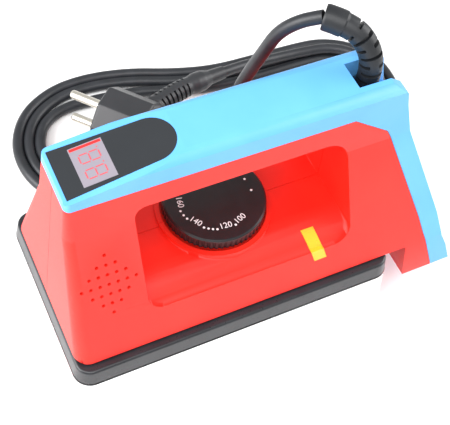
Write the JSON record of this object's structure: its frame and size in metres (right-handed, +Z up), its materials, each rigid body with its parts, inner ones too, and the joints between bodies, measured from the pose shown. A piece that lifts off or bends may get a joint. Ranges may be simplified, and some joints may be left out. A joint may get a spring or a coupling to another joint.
{
  "type": "waxing iron",
  "caption": "Hand-held electric waxing iron with a thick heated base plate, closed handle, display window, thermostat dial and a mains cord coiled behind it.",
  "frame": {"origin": "centre of the heated base plate's flat underside", "axes": "nose and display to -X, heel and cord exit to +X, +Z up from the working face, +Y to the side where the cord lies"},
  "size_m": [0.2562, 0.2, 0.1594],
  "materials": {
    "aluminium": "brushed",
    "sheath_steel": "satin",
    "sheet_steel": "satin",
    "screw_steel": "satin",
    "black_plastic": "moulded",
    "gasket_rubber": "matt",
    "collar_black": "semi-gloss",
    "red_plastic": "fine texture",
    "blue_plastic": "fine texture",
    "window_black": "polished",
    "display_grey": "moulded",
    "board_green": "solder mask",
    "knob_black": "moulded, white marks",
    "lens_amber": "translucent",
    "lamp_glass": "clear",
    "terminal_white": "moulded",
    "guard_rubber": "satin",
    "cord_black": "satin",
    "plug_black": "satin",
    "pin_metal": "nickel plated"
  },
  "bodies": {
    "iron": {"base_plate": "aluminium", "heating_element": "sheath_steel", "heater_clamp_plate": "sheet_steel", "clamp_plate_screws": "screw_steel", "thermal_cutout": "black_plastic", "temperature_probe": "sheath_steel", "insulating_gasket": "gasket_rubber", "collar": "collar_black", "collar_screws": "screw_steel", "heat_shield": "sheet_steel", "left_shell": "red_plastic", "right_shell": "red_plastic", "top_cover": "blue_plastic", "shell_screws": "screw_steel", "display_window": "window_black", "display_module": "display_grey", "display_board": "board_green", "control_body": "black_plastic", "control_nut": "screw_steel", "control_board": "board_green", "relay": "black_plastic", "indicator_lens": "lens_amber", "indicator_lamp": "lamp_glass", "terminal_block": "terminal_white", "cord_clamp": "black_plastic", "cord_clamp_screws": "screw_steel", "guard_root": "guard_rubber", "cord_guard": "guard_rubber", "cord_riser": "cord_black", "cord_coil": "cord_black", "cord_tail": "cord_black", "plug_strain_relief": "guard_rubber", "plug_body": "plug_black", "plug_pins": "pin_metal"},
    "dial": {"dial_knob": "knob_black", "dial_spindle": "screw_steel"}
  },
  "joints": [
    {"name": "dial_turn", "type": "hinge", "parent": "iron", "child": "dial", "pos_m": [0.0022, 0, 0.07], "axis": [0, 0, 1], "range_deg": [-150, 150]}
  ]
}
